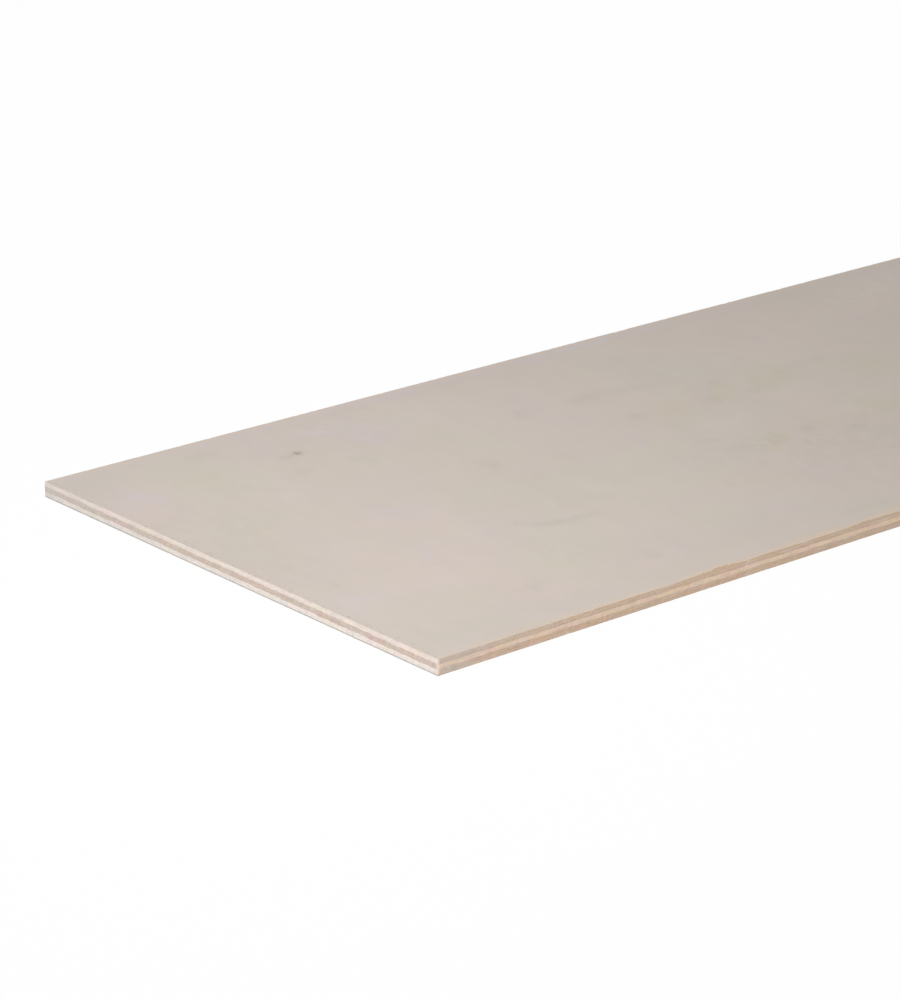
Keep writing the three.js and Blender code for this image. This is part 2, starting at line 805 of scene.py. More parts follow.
@dataclass(frozen=True)
class EdgeFinish:
    """A sawn edge, which shows either the ends of a veneer's fibres or their sides."""

    name: str
    zone: Zone
    fibres: Fibres
    colours: EdgeColours
    seed: float
    glue: str = "#9C8370"
    fringe: str = "#D2BDAB"
    torn: str = "#C1A78F"
    # dark grey for dirt on the front edge and for painted shade along the left end's bottom
    grime: str = "#86837F"
    # pale colour of the painted highlight on the near corner
    rubbed: str = "#DACBC0"
    # grey for greyed wood and for painted shade down the far corner
    weathered: str = "#C0BBB6"
    bands: Pattern = Pattern((40, 0.8), 0.0, 3.0)
    mottle: Pattern = Pattern((12, 2.2), 1.0, 3.0)
    lightness: Pair = (0.8, 1.2)
    reds: Pattern = Pattern((12, 2.4), 2.0, 4.0, reads=(0.46, 0.64), gives=(0.0, 0.85))
    yellows: Pattern = Pattern((15, 2.0), 3.0, 4.0, reads=(0.46, 0.64), gives=(0.0, 0.85))
    patches: Pattern = Pattern((5, 1.1), 5.0, 3.0, gives=(-0.045, 0.045))
    specks: Pattern = Pattern((1.7, 0.6), 6.0, 1.0, reads=(0.64, 0.78), gives=(0.0, -0.20))
    glints: Pattern = Pattern((1.7, 0.6), 6.0, 1.0, reads=(0.22, 0.36), gives=(0.08, 0.0))
    sawing: Pattern = Pattern((1.1, 6.0), 0.0, 1.0)
    lean: float = 30.0
    roughness: Pair = (0.74, 0.88)
    specular: float = 0.2

    def joined(self, graph: WoodGraph, wood: Socket, line: GlueLine) -> Socket:
        """Lets a joint wander, so that a little of the next veneer shows beside it.

        Args:
            graph: The graph to write it in.
            wood: The colour of this veneer.
            line: The joint.

        Returns:
            The socket of the colour with the joint drawn on it.
        """
        creep = graph.draw((line.patch, line.patch, ENDLESS), line.seed, line.detail)
        creep = graph.span(creep, FULL, (-line.wander / 2, line.wander / 2))
        height = graph.add("SeparateXYZ", {"Vector": graph.place}).outputs["Z"]
        away = graph.math("SUBTRACT", graph.math("SUBTRACT", height, line.height), creep)
        if not line.is_above:
            away = graph.math("MULTIPLY", away, -1.0)
        over = graph.span(away, (-line.softness, line.softness), FALLING)
        wood = graph.blend(over, wood, tint(line.beyond))
        glued = graph.span(graph.math("ABSOLUTE", away), line.film, (line.darkness, 0.0))
        return graph.blend(glued, wood, tint(self.glue))

    def material(self, lines: list[GlueLine]) -> bpy.types.Material:
        """Builds the finish.

        Args:
            lines: The joints that this edge meets.

        Returns:
            The material.
        """
        graph = WoodGraph(self.name, self.zone, self.seed, self.specular)
        lightness = graph.math("ADD", graph.noise(self.bands), graph.noise(self.mottle))
        lightness = graph.span(lightness, self.lightness, FULL)
        wood = graph.blend(lightness, tint(self.colours.dark), tint(self.colours.light))
        for pattern, colour in ((self.reds, self.colours.red), (self.yellows, self.colours.yellow)):
            wood = graph.blend(graph.level(pattern), wood, tint(colour))
        for line in lines:
            wood = self.joined(graph, wood, line)
        bite = (-self.fibres.bite, self.fibres.bite)
        tone = graph.total([
            graph.level(self.fibres.pattern),
            graph.level(self.patches),
            graph.span(graph.scratches(self.sawing, self.lean), self.sawing.reads, bite),
            graph.level(self.specks),
            graph.level(self.glints),
        ])
        wood = graph.torn(graph.shade(wood, tone), self.fringe, self.torn)
        # greyed wood with painted shade at the far corner, a painted highlight at the near corner,
        # painted shade along the bottom and dirt on the front edge
        for mark, colour in (
            (Mark.WEATHERED_AND_SHADED, self.weathered),
            (Mark.CORNER_HIGHLIGHT, self.rubbed),
            (Mark.GRIME_AND_SHADE, self.grime),
        ):
            wood = graph.marked(mark, wood, colour)
        relief = graph.bump(graph.noise(self.fibres.pattern), self.fibres.depth)
        return graph.dress(wood, graph.level(self.mottle, self.roughness), relief)


# ------------------------------------------------------------------ relief on the sawn edges


@dataclass(frozen=True)
class SawCut:
    """The surface that the saw left: fuzz in bumps to a millimetre, and the teeth's waves.

    The depths, the pitch and the distances are in millimetres.
    """

    fuzz: float
    bumps_along: float
    bumps_up: float
    waves: float = 0.0
    pitch: float = 6.3
    lean: float = 0.4

    def depth(self, along: float, up: float, seed: float) -> float:
        """Gives how far the surface lies behind the sheet's true edge.

        Args:
            along: The distance along the edge.
            up: The height above the glued side.
            seed: Which of many unlike patterns to read.

        Returns:
            The depth, in metres.
        """
        fuzz = self.fuzz * grit(along * self.bumps_along, up * self.bumps_up, seed)
        wave = 0.5 + 0.5 * math.sin(math.tau * (along + self.lean * up) / self.pitch)
        return (fuzz + self.waves * wave) * MM


@dataclass(frozen=True)
class Chips:
    """Small chips out of an edge, where two patterns meet. Its lengths are in millimetres."""

    first: float
    second: float
    seed: float
    sides: Pair
    deepest: float = 0.9
    spared: float = 0.30

    def roughness(self, along: float, is_far: bool, seed: float) -> float:
        """Gives how roughly the saw cut at a place.

        Args:
            along: The distance along the edge.
            is_far: Whether it is the rear or the right one of two opposite edges.
            seed: The veneer's own seed.

        Returns:
            The roughness, from zero to one.
        """
        side = self.sides[is_far]
        first = grit(along / self.first, side, seed + self.seed)
        return first * grit(along / self.second, side, seed)

    def loss(self, rough: float) -> float:
        """Gives how much of the veneer is chipped off where the saw cut so roughly."""
        return self.deepest * max(rough - self.spared, 0.0)


@dataclass(frozen=True)
class TearOut:
    """A patch of splinters that the saw lifted, placed from the sheet's left end.

    Its lengths and distances are in millimetres.
    """

    start: float
    length: float
    reach: float
    lean: float = 0.35
    roundness: float = 0.6
    splinters: Pair = (0.70, 1.15)
    deepest: float = 0.8
    deep_reach: float = 1.5
    scoop: float = 0.7

    def reach_at(self, along: float) -> float:
        """Says how far the splinters reach in from the edge.

        Args:
            along: The distance from the sheet's left end.

        Returns:
            The reach there.
        """
        share = (along - self.start) / self.length
        if not 0.0 < share < 1.0:
            return 0.0
        rise = share / self.lean if share < self.lean else (1.0 - share) / (1.0 - self.lean)
        return self.reach * rise**self.roundness

    def loss_at(self, along: float, inward: float, splinter: float) -> float:
        """Says how much of the veneer's thickness is torn away.

        Args:
            along: The distance from the sheet's left end.
            inward: The distance from the edge.
            splinter: How far the splinter there reaches, from zero to one.

        Returns:
            The loss there.
        """
        reach = self.reach_at(along) * between(self.splinters, splinter)
        if reach <= inward:
            return 0.0
        slope = (1.0 - inward / reach) ** self.scoop
        return self.deepest * min(reach / self.deep_reach, 1.0) * slope


@dataclass(frozen=True)
class Blemish:
    """A small mark on a face that is finely meshed, placed from the near left corner.

    Its lengths and distances are in millimetres.
    """

    along: float
    across: float
    length: float
    width: float

    def covers(self, along: float, across: float, margin: float) -> bool:
        """Tells whether a place lies in the blemish's box or within a margin of it."""
        near_along = abs(along - self.along) < self.length / 2 + margin
        return near_along and abs(across - self.across) < self.width / 2 + margin

    def depth(self, along: float, across: float) -> float:
        """Gives how deep the mark is at a place."""
        raise NotImplementedError

    def stain(self, along: float, across: float) -> float:
        """Gives how dark the mark is at a place, from zero to one."""
        raise NotImplementedError


@dataclass(frozen=True)
class PinKnot(Blemish):
    """The round trace of a twig, sunk a little, with a brown smear beside it."""

    lump: float = 1.1
    lump_seed: float = 31.0
    unevenness: Pair = (0.75, 1.25)
    sunk: Fading = Fading(0.3, 0.72, 2.25)
    ring: Fading = Fading(0.68, 0.9, 3.6)
    halo: Fading = Fading(0.12, 1.8, 7.0)
    smear: Fading = Fading(0.12, 0.1, 1.0)
    smear_place: Pair = (-7.0, -1.5)
    smear_radii: Pair = (11.0, 5.0)

    def distance(self, along: float, across: float) -> float:
        """Measures from the knot's middle, with an uneven rim.

        Args:
            along: The place along the sheet.
            across: The place across it.

        Returns:
            The distance.
        """
        near = Vector((along - self.along, across - self.across))
        lumps = grit(near.x / self.lump, near.y / self.lump, self.lump_seed)
        return near.length * between(self.unevenness, lumps)

    def depth(self, along: float, across: float) -> float:
        """Gives how deep the mark is at a place."""
        return self.sunk.at_mm(self.distance(along, across))

    def stain(self, along: float, across: float) -> float:
        """Gives how dark the mark is at a place.

        Args:
            along: The place along the sheet.
            across: The place across it.

        Returns:
            The darkness, from zero to one.
        """
        away = self.distance(along, across)
        smear_along = (along - self.along - self.smear_place[0]) / self.smear_radii[0]
        smear_across = (across - self.across - self.smear_place[1]) / self.smear_radii[1]
        smear = self.smear.at_mm(Vector((smear_along, smear_across)).length)
        return max(self.ring.at_mm(away), self.halo.at_mm(away) + smear)


@dataclass(frozen=True)
class Hairline(Blemish):
    """A short crease in the veneer, steep at its left and then level, with a soft grey shadow."""

    rise: float = 16.0
    bend: float = 8.0
    slope: float = -0.035
    waver: Pair = (-0.45, 0.45)
    waver_length: float = 5.0
    waver_seed: float = 8.0
    lumps: Pair = (0.7, 1.2)
    lump_length: float = 4.5
    lump_seed: float = 17.0
    starts: Fading = Fading(1.0, 14.0, 1.0)
    ends: Fading = Fading(1.0, 32.0, 52.0)
    groove: Fading = Fading(0.03, 0.2, 2.7)
    shadow: Fading = Fading(0.13, 0.2, 5.4)

    def ahead(self, along: float) -> float:
        """Measures along the crease from its left tip."""
        return along - self.along + self.length / 2

    def distance(self, along: float, across: float) -> float:
        """Measures across from the crease's middle.

        Args:
            along: The place along the sheet.
            across: The place across it.

        Returns:
            The distance.
        """
        ahead = self.ahead(along)
        middle = self.rise * math.exp(-ahead / self.bend) + self.slope * ahead
        waver = between(self.waver, grit(along / self.waver_length, 0.0, self.waver_seed))
        return abs(across - self.across - middle + waver)

    def strength(self, along: float) -> float:
        """Gives how strong the crease is along its length.

        Args:
            along: The place along the sheet.

        Returns:
            The strength, about one in its middle.
        """
        ahead = self.ahead(along)
        lumps = between(self.lumps, grit(along / self.lump_length, 0.0, self.lump_seed))
        return lumps * self.starts.at_mm(ahead) * self.ends.at_mm(ahead)

    def depth(self, along: float, across: float) -> float:
        """Gives how deep the mark is at a place."""
        return self.strength(along) * self.groove.at_mm(self.distance(along, across))

    def stain(self, along: float, across: float) -> float:
        """Gives how dark the crease's painted shadow is at a place, from zero to one."""
        return self.strength(along) * self.shadow.at_mm(self.distance(along, across))


@dataclass(frozen=True)
class WearAndShading:
    """How the sawn edges have greyed and taken dirt, most of all at the left end, and where shade
    and a highlight are painted on them: painted shade along the left end's bottom and down its far
    corner, and a painted highlight on the near corner.

    The fadings on the front edge start at the nearest end, those on the left end start at its far
    corner, and the painted line of shade starts at the sheet's bottom. What is nearer to an end
    than one of the two widths belongs to that end, and not to the front edge.
    """

    front_grey: Fading = Fading(0.12, 10.0, 60.0)
    middle_grey: Fading = Fading(0.0, 270.0, 160.0)
    end_grey: Fading = Fading(0.45, 25.0, 100.0)
    corner_grey: Fading = Fading(0.18, 2.0, 14.0)
    # painted shade: grey down the rounding at the far corner of the left end
    far_corner_shade: Fading = Fading(0.85, 0.2, 1.0)
    grey_width: float = 1.5 * MM
    front_dirt: Fading = Fading(0.04, 100.0, 170.0)
    # painted shade: a dark line along the bottom of the left end, uneven in patches
    bottom_shade: Fading = Fading(0.8, 0.4, 1.0)
    bottom_shade_patches: Pair = (0.6, 1.3)
    bottom_shade_patch: float = 7 * MM
    bottom_shade_seed: float = 5.0
    bottom_shade_width: float = 1.0 * MM
    on_edge: Fading = Fading(1.0, 0.4, 0.8)
    # painted highlight on the rounding at the near corner
    rubbed: Fading = Fading(0.6, 0.48, 1.6)


# ------------------------------------------------------------------ the veneers


@dataclass(frozen=True)
class Layout:
    """A veneer's place on its square map: the upper side in four parts, the rest as strips."""

    parts: int = 4
    columns: int = 2
    part: float = 0.452
    gap: float = 0.006
    strip: float = 0.015
    hidden: float = 0.006
    end_line: int = 2
    end_share: float = 0.49
    spare_height: float = 0.7 * MM

    def quarter(self, number: int, along: float, across: float) -> Pair:
        """Finds a place on one of the four parts of the upper side.

        Args:
            number: Which part it is, counted from the left end from zero.
            along: How far along the part it is, from zero to one.
            across: How far across the veneer it is, from zero to one.

        Returns:
            The place on the map.
        """
        step = self.part + self.gap
        left = self.gap + step * (number % self.columns)
        bottom = 1.0 - step * (1 + number // self.columns)
        return left + self.part * along, bottom + self.part * across

    def underside(self, along: float, across: float) -> Pair:
        """Finds a place on the glued lower side, which is squeezed into a thin strip."""
        return self.gap + (1.0 - 2 * self.gap) * along, self.gap + self.hidden * across

    def edge(self, line: int, along: float, up: float) -> Pair:
        """Finds a place on a strip for a sawn edge, along it and up it from zero to one."""
        bottom = 2 * self.gap + self.hidden + line * (self.strip + self.gap)
        return self.gap + (1.0 - 2 * self.gap) * along, bottom + self.strip * up

    def end(self, is_left: bool, along: float, up: float) -> Pair:
        """Finds a place on an end, as seen from outside. The two ends share one strip."""
        start = 0.0 if is_left else 1.0 - self.end_share
        return self.edge(self.end_line, start + self.end_share * along, up)


@dataclass
class Ply:
    """One veneer, modelled with its glued side on z = 0 and then set in its place.

    The saw's relief dies out inwards from each edge, and a thin lip of the glued side stands back.
    Torn wood comes to show between the two bared shares of the veneer's thickness.
    """

    name: str
    node: str
    grain: Grain
    seed: float
    flips: bool = False
    column: float = 1.0 * MM
    row: float = 0.45 * MM
    glue_lip: float = 0.12 * MM
    corner_radius: float = 0.8 * MM
    corner_steps: int = 4
    end_tilt: float = 0.6
    crease: float = math.radians(40)
    weld: float = 1e-6
    ends_cut: SawCut = SawCut(0.09, 0.42, 0.9, waves=0.02)
    sides_cut: SawCut = SawCut(0.05, 0.05, 1.3)
    cut_inward: Fading = Fading(1.0, 0.3, 1.0)
    lip: Fading = Fading(0.06 * MM, 0.0, 0.12)
    right_end_share: float = 0.9
    relief_width: float = 8 * MM
    bared: Pair = (0.55, 0.85)
    full_tear: float = 0.25 * MM
    torn_on_end: float = 0.4
    wear_and_shading: WearAndShading = WearAndShading()
    layout: Layout = Layout()
    low: Vector = field(init=False)
    size: Vector = field(init=False)

    def __post_init__(self) -> None:
        """Takes the veneer's box from the frame."""
        self.low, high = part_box(self.node)
        self.size = high - self.low

    # -------------------------------------------------------------- shape

    def wall_height(self) -> float:
        """Gives the height of the sawn wall."""
        return self.size.z

    def wall(self, bm: bmesh.types.BMesh) -> None:
        """Stands up the four sawn sides as a band of small faces.

        Args:
            bm: The mesh, which is empty.
        """
        spans = (self.size.x, self.size.y, self.wall_height())
        bmesh.ops.create_cube(bm, size=1.0)
        bmesh.ops.scale(bm, vec=spans, verts=bm.verts)
        bmesh.ops.translate(bm, vec=(0.0, 0.0, spans[2] / 2), verts=bm.verts)
        level = [face for face in bm.faces if abs(face.normal.z) > LEVEL]
        bmesh.ops.delete(bm, geom=level, context="FACES_ONLY")
        bmesh.ops.bevel(
            bm,
            geom=[edge for edge in bm.edges if not edge.is_boundary],
            offset=self.corner_radius,
            segments=self.corner_steps,
            profile=0.5,
            affect="EDGES",
            material=-1,
        )
        for axis, step in enumerate((self.column, self.column, self.row)):
            edges = [e for e in bm.edges if abs((e.verts[0].co - e.verts[1].co)[axis]) > step]
            cuts = round(spans[axis] / step) - 1
            bmesh.ops.subdivide_edges(bm, edges=edges, cuts=cuts, use_grid_fill=True)
        self.slice(bm, bm.faces[:], self.glue_lip * UP, UP)

    def slice(self, bm: bmesh.types.BMesh, faces: list, point: Vector, normal: Vector) -> None:
        """Cuts faces along a plane.

        Args:
            bm: The mesh.
            faces: The faces to cut.
            point: A point on the plane.
            normal: The plane's normal.
        """
        verts = once(vert for face in faces for vert in face.verts)
        edges = once(edge for face in faces for edge in face.edges)
        geom = [*verts, *edges, *faces]
        bmesh.ops.bisect_plane(bm, geom=geom, dist=self.weld, plane_co=point, plane_no=normal)

    @staticmethod
    def rim(bm: bmesh.types.BMesh, upper: bool) -> Rim:
        """Lists the open edges at the mesh's top or bottom.

        Args:
            bm: The mesh.
            upper: Whether to take the top ones.

        Returns:
            The edges.
        """
        open_edges = [edge for edge in bm.edges if edge.is_boundary]
        heights = [edge.verts[0].co.z for edge in open_edges]
        middle = (min(heights) + max(heights)) / 2
        return [e for e, z in zip(open_edges, heights) if (z > middle) == upper]

    @staticmethod
    def close(bm: bmesh.types.BMesh, edges: Rim, normal: Vector) -> None:
        """Fills the space inside one rim, or between two, with triangles.

        Args:
            bm: The mesh.
            edges: All the edges of the rims.
            normal: The direction that the filling faces.
        """
        bmesh.ops.triangle_fill(
            bm, edges=edges, use_beauty=True, use_dissolve=False, normal=normal
        )

    def outer_side(self, bm: bmesh.types.BMesh) -> None:
        """Closes the side away from z = 0, which on a core is glued too."""
        self.close(bm, self.rim(bm, upper=True), UP)

    # -------------------------------------------------------------- zones and the map

    def inset(self, place: Vector) -> Pair:
        """Measures how far a place is from the nearest end and from the nearest long edge."""
        return self.size.x / 2 - abs(place.x), self.size.y / 2 - abs(place.y)

    def zone_of(self, face: bmesh.types.BMFace) -> Zone:
        """Finds the kind of surface that a face belongs to.

        Args:
            face: The face, before any relief is put on it.

        Returns:
            Its zone.
        """
        if abs(face.normal.z) > LEVEL:
            return Zone.FLAT
        from_end, from_long_edge = self.inset(face.calc_center_median())
        if from_end > from_long_edge:
            return Zone.LONG_EDGE
        return Zone.FLAT if face.normal.z > self.end_tilt else Zone.END

    def quarter(self, bm: bmesh.types.BMesh) -> None:
        """Cuts the upper side along the lines between the four parts of its map.

        Args:
            bm: The mesh.
        """
        for part in range(1, self.layout.parts):
            upper = [face for face in bm.faces if face.normal.z > LEVEL]
            line = Vector((self.size.x * (part / self.layout.parts - 0.5), 0.0, 0.0))
            self.slice(bm, upper, line, RIGHT)

    def on_map(self, face: bmesh.types.BMFace, place: Vector) -> Pair:
        """Finds where a face's corner lies on the map, on which no side is mirrored.

        Args:
            face: The face, before any relief is put on it.
            place: The corner's place.

        Returns:
            The place on the map.
        """
        along, across = place.x / self.size.x + 0.5, place.y / self.size.y + 0.5
        from_end, from_long_edge = self.inset(place)
        centre, tall = face.calc_center_median(), self.size.z + self.layout.spare_height
        if face.material_index == Zone.LONG_EDGE:
            is_front = centre.y < 0
            share = along if is_front else 1.0 - along
            return self.layout.edge(int(is_front), share, (place.z + from_long_edge) / tall)
        if face.material_index == Zone.END:
            is_left = centre.x < 0
            share = 1.0 - across if is_left else across
            return self.layout.end(is_left, share, (place.z + from_end) / tall)
        if face.normal.z < 0:
            return self.layout.underside(along, 1.0 - across)
        parts = self.layout.parts
        number = min(int(parts * (centre.x / self.size.x + 0.5)), parts - 1)
        return self.layout.quarter(number, parts * along - number, across)

    # -------------------------------------------------------------- relief, worn marks and painted shading

    def in_sheet(self, place: Vector) -> Vector:
        """Finds where a place on the unplaced veneer comes to lie in the sheet.

        Args:
            place: The place on the veneer.

        Returns:
            The place in the sheet.
        """
        if self.flips:
            return Vector((place.x, -place.y, self.low.z + self.size.z - place.z))
        return Vector((place.x, place.y, self.low.z + place.z))

    def cut_back(self, zone: Zone, along: float, up: float, inward: float) -> float:
        """Gives how far the saw's surface lies behind one of the sheet's true edges.

        Args:
            zone: Which kind of edge it is.
            along: The distance along the edge.
            up: The height above the glued side.
            inward: The distance from the edge.

        Returns:
            The depth.
        """
        shows_ends = (zone is Zone.LONG_EDGE) == (self.grain is Grain.ACROSS)
        cut = self.ends_cut if shows_ends else self.sides_cut
        depth = cut.depth(along / MM, up / MM, self.seed) + self.lip.at(up)
        return depth * self.cut_inward.at(inward)

    def grime_and_shade_at(self, place: Vector) -> float:
        """Gives the painted shade along the bottom of the left end, and the dirt on the front edge
        beside it.

        Args:
            place: A place in the sheet.

        Returns:
            The share of dark grey, from zero to one.
        """
        wear_and_shading = self.wear_and_shading
        from_end, from_long_edge = self.inset(place)
        if place.x > 0:
            return 0.0
        if from_end > wear_and_shading.bottom_shade_width:
            on_front = wear_and_shading.on_edge.at(from_long_edge) if place.y < 0 else 0.0
            return on_front * wear_and_shading.front_dirt.at(from_end)
        # painted shade: a dark grey line along the left end's bottom
        patches = grit(place.y / wear_and_shading.bottom_shade_patch, wear_and_shading.bottom_shade_seed, self.seed)
        return min(between(wear_and_shading.bottom_shade_patches, patches), 1.0) * wear_and_shading.bottom_shade.at(place.z)

    def weathered_and_shaded_at(self, place: Vector) -> float:
        """Gives how far the left end and the front edge have greyed, and the painted shade down the
        far corner of the left end.

        Args:
            place: A place in the sheet.

        Returns:
            The share of grey, from zero to one.
        """
        wear_and_shading = self.wear_and_shading
        from_end, from_long_edge = self.inset(place)
        if from_end > wear_and_shading.grey_width:
            if place.y > 0:
                return 0.0
            corner = wear_and_shading.front_grey.at(from_end) if place.x < 0 else 0.0
            return wear_and_shading.on_edge.at(from_long_edge) * max(corner, wear_and_shading.middle_grey.at(from_end))
        if place.x > 0:
            return 0.0
        from_far_corner = self.size.y / 2 - place.y
        along_end = wear_and_shading.end_grey.at(from_far_corner) + wear_and_shading.corner_grey.at(from_far_corner)
        # painted shade: the rounding at the far corner is greyed
        return max(along_end, wear_and_shading.far_corner_shade.at(from_far_corner))

    def loss(self, place: Vector) -> float:
        """Gives how much of the veneer's thickness is torn away."""
        return 0.0

    def browned(self, place: Vector) -> float:
        """Gives how brown the saw has left the surface, from zero to one."""
        return 0.0

    def torn_at(self, place: Vector, lost: float) -> float:
        """Gives how torn or browned the wood looks.

        Args:
            place: A place on the unplaced veneer.
            lost: How much of its thickness is torn away there.

        Returns:
            The share, from zero to one.
        """
        from_end, from_long_edge = self.inset(place)
        shown = self.torn_on_end if from_end < from_long_edge else 1.0
        splintered = shown * min(lost / self.full_tear, 1.0)
        bared = 1.0 - fade(place.z / self.size.z, *self.bared)
        return bared * max(splintered, self.browned(self.in_sheet(place)))

    def marks_at(self, place: Vector, lost: float) -> dict[Mark, float]:
        """Gives what the surface carries besides its wood.

        Args:
            place: A place on the unplaced veneer.
            lost: How much of its thickness is torn away there.

        Returns:
            The share of each mark.
        """
        spot = self.in_sheet(place)
        beside_corner = place.x < 0 and spot.y < 0
        return {
            Mark.TORN: self.torn_at(place, lost),
            # dirt on the front edge, painted shade along the left end's bottom
            Mark.GRIME_AND_SHADE: self.grime_and_shade_at(spot),
            # painted highlight on the rounding at the near corner
            Mark.CORNER_HIGHLIGHT: self.wear_and_shading.rubbed.at(max(self.inset(place))) if beside_corner else 0.0,
            Mark.WEATHERED_AND_SHADED: self.weathered_and_shaded_at(spot),
        }

    def weather(self, bm: bmesh.types.BMesh) -> None:
        """Roughens the sawn edges, tears out splinters and marks the surface, with painted shade
        and a painted highlight among the marks.

        Args:
            bm: The mesh, still with its glued side on z = 0.
        """
        layers = {mark: bm.verts.layers.float.new(mark.value) for mark in Mark}
        for vert in bm.verts:
            place = vert.co.copy()
            from_end, from_long_edge = self.inset(place)
            if min(from_end, from_long_edge) > self.relief_width:
                continue
            back_x = self.cut_back(Zone.END, place.y, place.z, from_end)
            back_y = self.cut_back(Zone.LONG_EDGE, place.x, place.z, from_long_edge)
            if place.x > 0:
                back_x *= self.right_end_share
            lost = self.loss(self.in_sheet(place))
            vert.co.x -= math.copysign(back_x, place.x)
            vert.co.y -= math.copysign(back_y, place.y)
            vert.co.z *= 1.0 - lost / self.size.z
            for mark, share in self.marks_at(place, lost).items():
                vert[layers[mark]] = share

    # -------------------------------------------------------------- making it a piece

    def set_down(self, bm: bmesh.types.BMesh) -> None:
        """Turns the veneer over if it is the back one, and sets it on its glue plane.

        Args:
            bm: The mesh.
        """
        bmesh.ops.recalc_face_normals(bm, faces=bm.faces)
        glue_height = self.low.z
        if self.flips:
            glue_height += self.size.z
            turn = Matrix.Rotation(math.pi, 3, "X")
            bmesh.ops.rotate(bm, cent=(0.0, 0.0, 0.0), matrix=turn, verts=bm.verts)
        bmesh.ops.translate(bm, vec=glue_height * UP, verts=bm.verts)

    def build(self, materials: dict[Zone, bpy.types.Material]) -> bpy.types.Object:
        """Models the veneer and dresses it.

        Args:
            materials: The finish of each kind of surface.

        Returns:
            The piece, riding on the sheet's body.
        """
        bm = bmesh.new()
        self.wall(bm)
        self.outer_side(bm)
        self.close(bm, self.rim(bm, upper=False), -UP)
        bmesh.ops.recalc_face_normals(bm, faces=bm.faces)
        self.quarter(bm)
        sheet_map = bm.loops.layers.uv.new(BAKE_MAP)
        for face in bm.faces:
            face.material_index = self.zone_of(face)
            face.smooth = face.material_index != Zone.FLAT or face.normal.z > 0
            for loop in face.loops:
                loop[sheet_map].uv = self.on_map(face, loop.vert.co)
        self.weather(bm)
        self.set_down(bm)
        for edge in bm.edges:
            edge.smooth = edge.calc_face_angle(0.0) < self.crease
        piece = put_mesh(self.name, bm, [materials[zone] for zone in Zone])
        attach(piece, BODY)
        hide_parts(self.node)
        return piece


